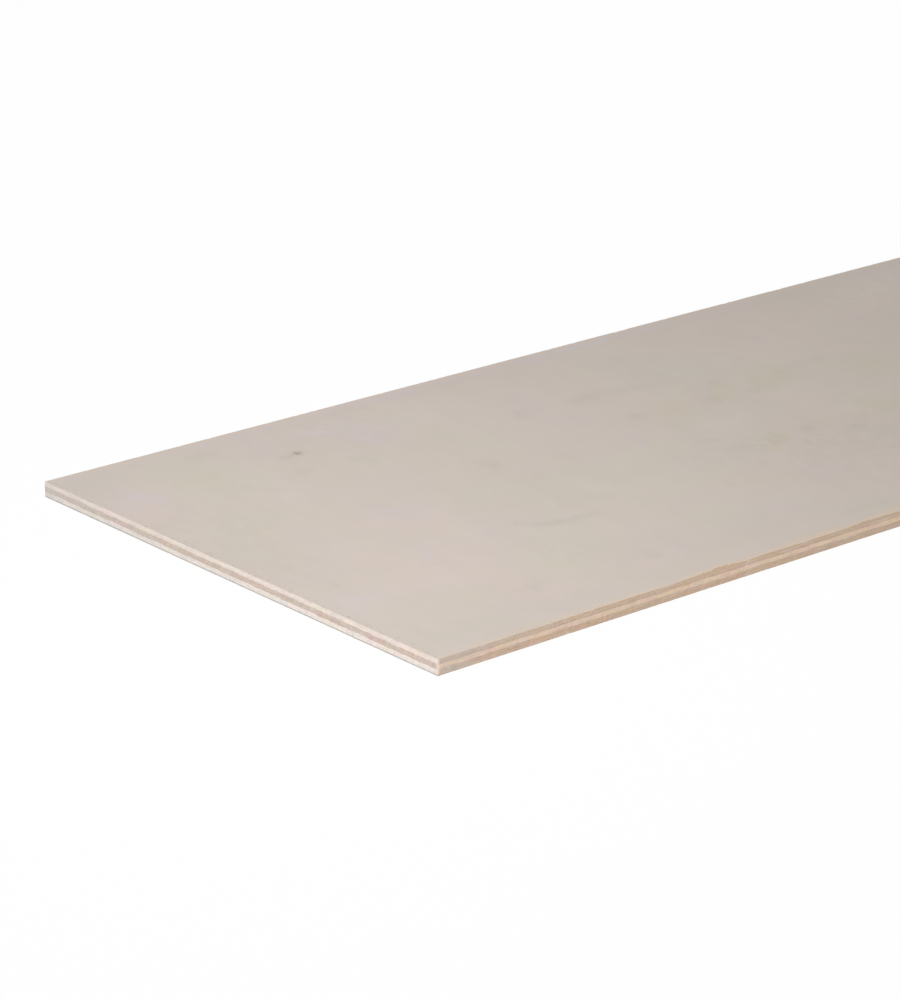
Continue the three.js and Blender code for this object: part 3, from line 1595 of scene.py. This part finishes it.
@dataclass
class OuterPly(Ply):
    """The face or back veneer, with sanded corners on the side that shows.

    The border's insets and the lengths of chips, splinters and flecks are in millimetres.
    """

    arris: float = 0.3 * MM
    arris_steps: int = 3
    border: tuple[float, ...] = (0.7, 1.1, 1.6, 2.2, 3.0, 4.0, 5.5, 8.0)
    tile: float = 20 * MM
    field_inset: float = 20 * MM
    fine_cuts: int = 39
    raggedness: float = 1.0
    chips: Chips = Chips(3.1, 17.0, 5.0, (3.0, 40.0))
    chips_reach: Pair = (0.5, 1.7)
    chips_width: float = 4.5 * MM
    chips_from_end: Fading = Fading(1.0, 25.0, 0.0)
    slivers: Chips = Chips(7.0, 1.7, 2.0, (60.0, 90.0))
    slivers_reach: Fading = Fading(1.0, 0.1, 0.8)
    splinter: float = 1.9
    splinter_seed: float = 9.0
    fringe: Fading = Fading(0.12, 1.5, 6.0)
    scorched: float = 0.24
    scorch_core: float = 0.3
    fleck_size: Pair = (2.1, 1.2)
    fleck_seed: float = 4.0
    fleck_start: float = 0.62
    flecks: Fading = Fading(1.3, 1.0, 5.5)
    tears: tuple[TearOut, ...] = ()
    scorches: tuple[TearOut, ...] = ()
    blemishes: tuple[Blemish, ...] = ()

    def wall_height(self) -> float:
        """Gives the height of the sawn wall, up to the sanded corner."""
        return self.size.z - self.arris

    def step_in(self, bm: bmesh.types.BMesh, rim: Rim, was: float, now: float, rise: float) -> Rim:
        """Grows the mesh inwards from its rim.

        Args:
            bm: The mesh.
            rim: The rim's edges.
            was: How far the rim is from the sheet's true edge.
            now: How far the new rim is to be from it.
            rise: How much higher the new rim is.

        Returns:
            The new rim's edges.
        """
        grown = bmesh.ops.extrude_edge_only(bm, edges=rim)["geom"]
        verts = [item for item in grown if isinstance(item, bmesh.types.BMVert)]
        shrink = [(span - 2 * now) / (span - 2 * was) for span in self.size.xy]
        bmesh.ops.scale(bm, vec=(*shrink, 1.0), verts=verts)
        bmesh.ops.translate(bm, vec=(0.0, 0.0, rise), verts=verts)
        return [e for e in grown if isinstance(e, bmesh.types.BMEdge) and e.is_boundary]

    def outer_side(self, bm: bmesh.types.BMesh) -> None:
        """Rounds the corners over and closes the face that shows.

        Args:
            bm: The mesh, with its wall standing.
        """
        rim = self.rim(bm, upper=True)
        was, height = 0.0, 0.0
        for step in range(1, self.arris_steps + 1):
            angle = math.pi / 2 * step / self.arris_steps
            now = self.arris * (1.0 - math.cos(angle))
            climbed = self.arris * math.sin(angle)
            rim = self.step_in(bm, rim, was, now, climbed - height)
            was, height = now, climbed
        for inset in self.border:
            rim = self.step_in(bm, rim, was, inset * MM, 0.0)
            was = inset * MM
        self.middle(bm, rim)

    def middle(self, bm: bmesh.types.BMesh, rim: Rim) -> None:
        """Fills the flat middle with tiles, finer where there is a blemish.

        Args:
            bm: The mesh.
            rim: The rim of the finely meshed border.
        """
        spans = [span - 2 * self.field_inset for span in self.size.xy]
        counts = [round(span / self.tile) for span in spans]
        made = bmesh.ops.create_grid(bm, x_segments=counts[0], y_segments=counts[1], size=0.5)
        verts = made["verts"]
        bmesh.ops.scale(bm, vec=(*spans, 1.0), verts=verts)
        bmesh.ops.translate(bm, vec=self.size.z * UP, verts=verts)
        tiles = once(face for vert in verts for face in vert.link_faces)
        edges = once(edge for face in tiles for edge in face.edges)
        self.close(bm, [*rim, *(edge for edge in edges if edge.is_boundary)], UP)
        for blemish in self.blemishes:
            self.refine(bm, blemish, [tile for tile in tiles if tile.is_valid])

    def from_corner(self, place: Vector) -> Pair:
        """Gives a place's distances from the near left corner, in millimetres."""
        return (place.x + self.size.x / 2) / MM, (place.y + self.size.y / 2) / MM

    def refine(self, bm: bmesh.types.BMesh, blemish: Blemish, tiles: list) -> None:
        """Cuts the tiles under a blemish into small faces.

        Args:
            bm: The mesh.
            blemish: The blemish.
            tiles: The tiles to choose from.
        """
        half = self.tile / MM / 2
        places = [self.from_corner(tile.calc_center_median()) for tile in tiles]
        under = [tile for tile, place in zip(tiles, places) if blemish.covers(*place, half)]
        edges = once(edge for tile in under for edge in tile.edges)
        bmesh.ops.subdivide_edges(bm, edges=edges, cuts=self.fine_cuts, use_grid_fill=True)

    def sliver_loss(self, place: Vector) -> float:
        """Gives how much is missing where slivers broke off along an end.

        Args:
            place: A place in the sheet.

        Returns:
            The loss.
        """
        rough = self.slivers.roughness(place.y / MM, place.x >= 0, self.seed)
        lost = self.raggedness * self.slivers.loss(rough) * MM
        return lost * self.slivers_reach.at(self.inset(place)[0])

    def loss(self, place: Vector) -> float:
        """Gives how much of the veneer's thickness is torn away.

        Args:
            place: A place in the sheet.

        Returns:
            The loss.
        """
        from_end, from_long_edge = self.inset(place)
        if from_long_edge > self.chips_width:
            return self.sliver_loss(place)
        along, inward = self.from_corner(place)[0], from_long_edge / MM
        rough = self.chips.roughness(along, place.y >= 0, self.seed)
        lost = self.raggedness * self.chips.loss(rough) * self.chips_from_end.at(from_end)
        lost *= fade(inward, 0.0, between(self.chips_reach, rough))
        if place.y < 0:
            splinter = grit(along / self.splinter, 0.0, self.seed + self.splinter_seed)
            lost = max([lost, *(tear.loss_at(along, inward, splinter) for tear in self.tears)])
        return lost * MM

    def browned(self, place: Vector) -> float:
        """Gives how brown the saw has left the face beside a long edge.

        Args:
            place: A place in the sheet.

        Returns:
            The share of brown, from zero to one.
        """
        along, inward = self.from_corner(place)[0], self.inset(place)[1] / MM
        share = self.fringe.at_mm(inward)
        if place.y < 0:
            for reach in (scorch.reach_at(along) for scorch in self.scorches):
                if reach > 0:
                    scorched = self.scorched * fade(inward, self.scorch_core * reach, reach)
                    share = max(share, scorched)
        return share

    def weather(self, bm: bmesh.types.BMesh) -> None:
        """Roughens the edges, then sinks the blemishes and darkens them, with stains and the
        crease's painted shadow.

        Args:
            bm: The mesh, still with its glued side on z = 0.
        """
        super().weather(bm)
        stain = bm.verts.layers.float[Mark.STAIN_AND_SHADE.value]
        for vert in bm.verts:
            along, across = self.from_corner(vert.co)
            if along < self.flecks.end_mm:
                sizes = self.fleck_size
                fleck = grit(across / sizes[0], along / sizes[1], self.seed + self.fleck_seed)
                vert[stain] = max(fleck - self.fleck_start, 0.0) * self.flecks.at_mm(along)
            for blemish in self.blemishes:
                if blemish.covers(along, across, 0.0):
                    vert.co.z -= blemish.depth(along, across) * MM
                    vert[stain] = max(vert[stain], blemish.stain(along, across))


# ------------------------------------------------------------------ the sheet


@dataclass(frozen=True)
class VeneerColours:
    """A veneer's colours on its long edges and on its ends."""

    long_edge: EdgeColours
    end: EdgeColours


@dataclass
class Sheet:
    """The whole sheet: its finishes, and its veneers from the top down.

    A colour that is named for a veneer on an edge is what shows of it beyond a wandering joint.
    """

    low: Vector
    clouds: tuple[Cloud, ...] = (
        Cloud(250, 227, 36, 24, 20, 0.050),
        Cloud(288, 225, 46, 22, 10, 0.042),
        Cloud(318, 222, 52, 18, 0, 0.024),
        Cloud(365, 187, 190, 40, 4, 0.014),
        Cloud(290, 184, 26, 20, 30, 0.036),
        Cloud(333, 180, 24, 28, 60, 0.052),
        Cloud(353, 200, 56, 18, 12, 0.036),
        Cloud(370, 177, 30, 22, 0, 0.030),
        Cloud(425, 194, 52, 18, 0, 0.024),
        Cloud(398, 221, 22, 18, 30, 0.028),
        Cloud(312, 184, 44, 34, 40, yellower=1.0),
        Cloud(352, 187, 22, 44, -40, yellower=1.0),
        Cloud(388, 190, 56, 44, 30, 0.012, yellower=0.9),
        Cloud(445, 168, 66, 42, 45, 0.018, yellower=0.9),
        Cloud(315, 113, 52, 26, 45, 0.020, yellower=0.7),
        Cloud(395, 118, 50, 34, 30, yellower=0.6),
        Cloud(303, 116, 46, 30, 20, 0.034),
        Cloud(345, 116, 16, 14, 30, 0.050),
        Cloud(330, 100, 18, 12, 40, 0.036),
        Cloud(365, 102, 20, 12, 0, 0.028),
        Cloud(293, 133, 22, 12, -30, 0.028),
        Cloud(312, 150, 48, 34, 0, -0.034),
        # painted shade, steepening the lamps' fall-off along the face
        Cloud(340, 90, 210, 130, 0, 0.044, yellower=0.15),
        # painted light on the far part of the face
        Cloud(540, 260, 170, 90, 0, -0.034),
        # painted light along the rear of the face
        Cloud(200, 262, 150, 60, 0, -0.026),
        # painted shade at the left end, where the lamps light the face most brightly
        Cloud(12, 165, 90, 230, 0, 0.034),
        Cloud(82, 281, 36, 20, 10, 0.042),
        Cloud(141, 225, 34, 26, -10, 0.028, 0.35),
        Cloud(105, 230, 26, 18, 0, 0.024, 0.3),
        Cloud(184, 176, 20, 34, -30, 0.030, 0.25),
        Cloud(190, 148, 16, 38, -35, 0.022),
        Cloud(172, 110, 12, 34, -30, 0.034),
        Cloud(196, 108, 24, 12, -40, 0.024),
        Cloud(138, 106, 18, 10, -10, 0.028),
        Cloud(250, 82, 22, 16, 20, 0.022),
        Cloud(92, 39, 32, 16, 20, 0.036),
        Cloud(158, 36, 34, 22, 40, 0.028),
        Cloud(285, 14, 44, 14, 0, 0.030),
        Cloud(22, 97, 16, 16, 0, 0.028, 0.25),
        Cloud(80, 203, 24, 28, 30, -0.030),
        Cloud(157, 146, 72, 96, 40, 0.0, 0.45),
        Cloud(136, 64, 84, 124, -40, 0.0, 0.5),
        Cloud(355, 245, 92, 92, 0, 0.0, 0.5),
        Cloud(60, 246, 110, 84, 0, 0.0, 0.5),
        Cloud(42, 190, 96, 60, 0, 0.006, 0.45),
        Cloud(14, 284, 60, 40, 0, 0.006, 0.7, 0.45),
        Cloud(260, 294, 700, 18, 0, bluer=0.9),
        Cloud(104, 158, 44, 62, 40, 0.0, bluer=0.9),
        Cloud(168, 250, 48, 60, 40, -0.006, bluer=0.85),
        Cloud(18, 248, 54, 50, 0, 0.0, bluer=0.9),
        Cloud(150, 276, 100, 32, 0, -0.024, bluer=0.6),
        Cloud(16, 70, 44, 56, 0, 0.0, bluer=0.9),
        Cloud(80, 104, 18, 40, -40, 0.0, bluer=0.8),
        Cloud(264, 160, 14, 46, -40, 0.0, bluer=0.9),
    )
    face_colours: VeneerColours = VeneerColours(
        EdgeColours("#D1BCAA", "#C3AA94", "#CFAC9B", "#CAB293"),
        EdgeColours("#DCD0CA", "#D1C4BD", "#E0CCC6", "#DED2C1"),
    )
    core_colours: VeneerColours = VeneerColours(
        EdgeColours("#E3CDBC", "#D8C0AD", "#E1BDAE", "#DFC8A8"),
        EdgeColours("#C2B5AC", "#B2A499", "#C2A8A1", "#BDB09F"),
    )
    back_colours: VeneerColours = VeneerColours(
        EdgeColours("#CFBAA7", "#C1A892", "#CCA998", "#C8B090"),
        EdgeColours("#DAD3CE", "#D2CAC4", "#DFCECA", "#DCD3C5"),
    )
    core_on_long_edge: str = "#DDC5B2"
    core_on_end: str = "#BBAD9E"
    outer_on_long_edge: str = "#C6AE99"
    face_on_end: str = "#D8CDC3"
    back_on_end: str = "#DAD1C9"
    end_fringe: str = "#D2C6BB"
    end_torn: str = "#C9BCB0"
    end_seed_step: float = 10.0
    upper_joint_seed: float = 3.0
    lower_joint_seed: float = 8.0
    knot: PinKnot = PinKnot(along=120.7, across=253.0, length=32.0, width=16.0)
    hairline: Hairline = Hairline(along=160.0, across=94.2, length=52.0, width=34.0)
    tears: tuple[TearOut, ...] = (
        TearOut(26, 16, 1.1),
        TearOut(62, 6, 0.5),
        TearOut(74, 8, 1.0),
        TearOut(84, 6, 1.1),
        TearOut(90, 16, 1.2),
        TearOut(99, 44, 0.9),
        TearOut(117, 7, 1.1),
        TearOut(138, 26, 1.5, 0.7),
        TearOut(150, 16, 2.2, 0.85),
        TearOut(163.5, 24, 3.6, 0.28),
        TearOut(187, 42, 1.3),
        TearOut(217, 5, 1.3),
        TearOut(224, 40, 1.0),
        TearOut(252, 46, 2.1, 0.3),
    )
    scorches: tuple[TearOut, ...] = (
        TearOut(150, 45, 6.5),
        TearOut(195, 80, 9.0, 0.5),
        TearOut(240, 160, 9.5, 0.3),
    )

    def joint(self, is_upper: bool, is_above: bool, beyond: str) -> GlueLine:
        """Gives a joint between the core and an outer veneer, as one of the two sees it.

        Args:
            is_upper: Whether it is the joint over the core, and not the one under it.
            is_above: Whether the veneer that sees it lies above it.
            beyond: The colour of the other veneer.

        Returns:
            The joint.
        """
        core_low, core_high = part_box("core_veneer")
        height = core_high.z if is_upper else core_low.z
        seed = self.upper_joint_seed if is_upper else self.lower_joint_seed
        return GlueLine(height, seed, is_above, beyond)

    def outer_finishes(
        self, flat: FaceFinish, seed: float, colours: VeneerColours, is_top: bool
    ) -> dict[Zone, bpy.types.Material]:
        """Builds the finishes of an outer veneer, whose fibres end on the long edges.

        Args:
            flat: The finish of its face.
            seed: Which of many unlike patterns its edges show.
            colours: The colours of its edges.
            is_top: Whether it lies on the core, and not under it.

        Returns:
            A material for each kind of surface.
        """
        long_edge = EdgeFinish(
            f"{flat.name}_long_edge", Zone.LONG_EDGE, FIBRE_ENDS, colours.long_edge, seed
        )
        end = EdgeFinish(
            f"{flat.name}_end",
            Zone.END,
            FIBRE_SIDES,
            colours.end,
            seed + self.end_seed_step,
            fringe=self.end_fringe,
            torn=self.end_torn,
        )
        past_long_edge, past_end = self.core_on_long_edge, self.core_on_end
        return {
            Zone.FLAT: flat.material(self.low),
            Zone.LONG_EDGE: long_edge.material([self.joint(is_top, is_top, past_long_edge)]),
            Zone.END: end.material([self.joint(is_top, is_top, past_end)]),
        }

    def core_finishes(self) -> dict[Zone, bpy.types.Material]:
        """Builds the finishes of the core, whose fibres end on the short edges.

        Returns:
            A material for each kind of surface.
        """
        colours = self.core_colours
        long_edge = EdgeFinish(
            "core_long_edge", Zone.LONG_EDGE, FIBRE_SIDES, colours.long_edge, seed=51.0
        )
        end = EdgeFinish("core_end", Zone.END, FIBRE_ENDS, colours.end, seed=61.0)
        return {
            Zone.FLAT: FaceFinish("core_glued_side", seed=71.0).material(self.low),
            Zone.LONG_EDGE: long_edge.material([
                self.joint(True, False, self.outer_on_long_edge),
                self.joint(False, True, self.outer_on_long_edge),
            ]),
            Zone.END: end.material([
                self.joint(True, False, self.face_on_end),
                self.joint(False, True, self.back_on_end),
            ]),
        }

    def build(self) -> list[bpy.types.Object]:
        """Builds the three veneers.

        Returns:
            The pieces, from the top down.
        """
        face_wear_and_shading = WearAndShading(
            front_grey=Fading(0.40, 5.0, 75.0),
            middle_grey=Fading(0.10, 270.0, 160.0),
            end_grey=Fading(0.23, 120.0, 300.0),
            front_dirt=Fading(0.085, 100.0, 175.0),
        )
        back_wear_and_shading = WearAndShading(
            front_grey=Fading(0.50, 2.0, 30.0),
            middle_grey=Fading(0.18, 270.0, 160.0),
            end_grey=Fading(0.20, 90.0, 290.0),
            front_dirt=Fading(0.075, 100.0, 175.0),
        )
        face = OuterPly(
            "face_ply",
            "face_veneer",
            Grain.ACROSS,
            seed=11.0,
            wear_and_shading=face_wear_and_shading,
            tears=self.tears,
            scorches=self.scorches,
            blemishes=(self.knot, self.hairline),
        )
        core = Ply("core_ply", "core_veneer", Grain.ALONG, seed=23.0)
        back = OuterPly(
            "back_ply",
            "back_veneer",
            Grain.ACROSS,
            seed=37.0,
            wear_and_shading=back_wear_and_shading,
            flips=True,
            arris=0.4 * MM,
            raggedness=0.4,
        )
        fronted = FaceFinish("face_veneer", seed=2.0, clouds=self.clouds)
        backed = FaceFinish("back_veneer", seed=5.0)
        return [
            face.build(self.outer_finishes(fronted, 21.0, self.face_colours, is_top=True)),
            core.build(self.core_finishes()),
            back.build(self.outer_finishes(backed, 31.0, self.back_colours, is_top=False)),
        ]


# ------------------------------------------------------------------ the studio


@dataclass(frozen=True)
class Camera:
    """A camera that sees the sheet's near corner from above its left end."""

    focal_px: float = 3779.0
    picture_px: Pair = (900.0, 1000.0)
    corner_px: Pair = (437.7, 659.6)
    corner_depth_in_widths: float = 5.4526
    elevation: float = 19.95
    azimuth: float = 40.19
    sensor: float = 36.0
    farthest: float = 100.0

    def build(self, low: Vector, high: Vector) -> None:
        """Puts the camera in the scene and makes it the one that renders.

        Args:
            low: The sheet's lowest corner.
            high: Its highest corner.
        """
        turn, tilt = math.radians(self.azimuth), math.radians(self.elevation)
        right = Vector((math.cos(turn), -math.sin(turn), 0.0))
        ahead = Vector((math.sin(turn), math.cos(turn), 0.0))
        forward = ahead * math.cos(tilt) - UP * math.sin(tilt)
        above = ahead * math.sin(tilt) + UP * math.cos(tilt)
        depth = (high.y - low.y) * self.corner_depth_in_widths
        across = (self.corner_px[0] - self.picture_px[0] / 2) / self.focal_px
        below = (self.corner_px[1] - self.picture_px[1] / 2) / self.focal_px
        corner = Vector((low.x, low.y, high.z))
        data = bpy.data.cameras.new("camera")
        data.sensor_width = self.sensor
        data.lens = self.focal_px * self.sensor / max(self.picture_px)
        data.clip_end = self.farthest
        camera = put("camera", data)
        camera.matrix_world = Matrix((right, above, -forward)).transposed().to_4x4()
        camera.location = corner - depth * (forward + across * right - below * above)
        bpy.context.scene.camera = camera


@dataclass(frozen=True)
class Lamp:
    """A soft lamp that looks at one point."""

    name: str
    stands: Triple
    looks_at: Triple
    size: float
    power: float

    def light(self) -> bpy.types.Light:
        """Makes the light, which is a square panel.

        Returns:
            The light.
        """
        light = bpy.data.lights.new(self.name, "AREA")
        light.shape = "SQUARE"
        light.size = self.size
        return light

    def build(self) -> None:
        """Puts the lamp in the scene."""
        light = self.light()
        light.energy = self.power
        lamp = put(self.name, light)
        aim = Vector(self.looks_at) - Vector(self.stands)
        lamp.rotation_euler = aim.to_track_quat("-Z", "Y").to_euler()
        lamp.location = self.stands


@dataclass(frozen=True)
class Spotlight(Lamp):
    """A soft lamp whose light fades from the middle of a cone to its rim."""

    cone: float = 23.0

    def light(self) -> bpy.types.Light:
        """Makes the light, which is a round bulb.

        Returns:
            The light.
        """
        light = bpy.data.lights.new(self.name, "SPOT")
        light.shadow_soft_size = self.size
        light.spot_size = math.radians(self.cone)
        light.spot_blend = 1.0
        return light


@dataclass(frozen=True)
class Studio:
    """A white floor under soft light."""

    floor_side: float = 12.0
    floor_drop: float = 0.2 * MM
    floor_colour: str = "#F0F0F0"
    floor_glow: float = 0.975
    surround: float = 0.545
    white: Rgba = (1.0, 1.0, 1.0, 1.0)
    lamps: tuple[Lamp, ...] = (
        Spotlight("key", (-1.67, -0.93, 1.70), (-0.59, -0.03, 0.0), 0.24, 97.0),
        Spotlight("fill", (0.85, -0.75, 1.80), (0.50, 0.0, 0.0), 0.30, 16.5, cone=27.0),
        Lamp("side", (-2.5, -0.45, 0.55), (-0.6, -0.1, 0.0), 1.0, 13.0),
        Lamp("front", (0.7, -2.4, 1.2), (0.0, -0.15, 0.0), 1.2, 6.5),
        Lamp("right", (2.6, -0.3, 0.35), (0.6, -0.05, 0.0), 1.0, 10.0),
    )

    def floor(self) -> None:
        """Lays the floor, which is seen as white and keeps the sheet's shadow."""
        material = bpy.data.materials.new("floor")
        material.use_nodes = True
        graph = Graph(material.node_tree)
        lit = graph.add("BsdfDiffuse", {"Color": tint(self.floor_colour)}).outputs["BSDF"]
        seen = graph.add("Emission").outputs["Emission"]
        share = graph.math("MULTIPLY", graph.seen_directly(), self.floor_glow)
        graph.surface("OutputMaterial", share, lit, seen)
        bm = bmesh.new()
        bmesh.ops.create_grid(bm, x_segments=1, y_segments=1, size=self.floor_side / 2)
        bmesh.ops.translate(bm, vec=-self.floor_drop * UP, verts=bm.verts)
        put_mesh("floor", bm, [material])

    def sky(self) -> None:
        """Surrounds the sheet with even light, seen as white."""
        world = bpy.data.worlds.new("surround")
        bpy.context.scene.world = world
        world.use_nodes = True
        graph = Graph(world.node_tree)
        lit, seen = (
            graph.add("Background", {"Color": self.white, "Strength": strength})
            for strength in (self.surround, 1.0)
        )
        share = graph.seen_directly()
        graph.surface(
            "OutputWorld", share, lit.outputs["Background"], seen.outputs["Background"]
        )

    def build(self) -> None:
        """Sets up the floor, the surround and the lamps."""
        self.floor()
        self.sky()
        for lamp in self.lamps:
            lamp.build()
        bpy.context.scene.view_settings.view_transform = "Standard"


def main() -> None:
    """Builds the camera, the studio and the sheet."""
    logging.basicConfig(level=logging.INFO, format="%(name)s: %(message)s")
    low, high = (Vector(corner) for corner in CAD_BOX)
    Camera().build(low, high)
    Studio().build()
    for piece in Sheet(low).build():
        LOG.info("%s: %d faces", piece.name, len(piece.data.polygons))


if __name__ == "__main__":
    main()
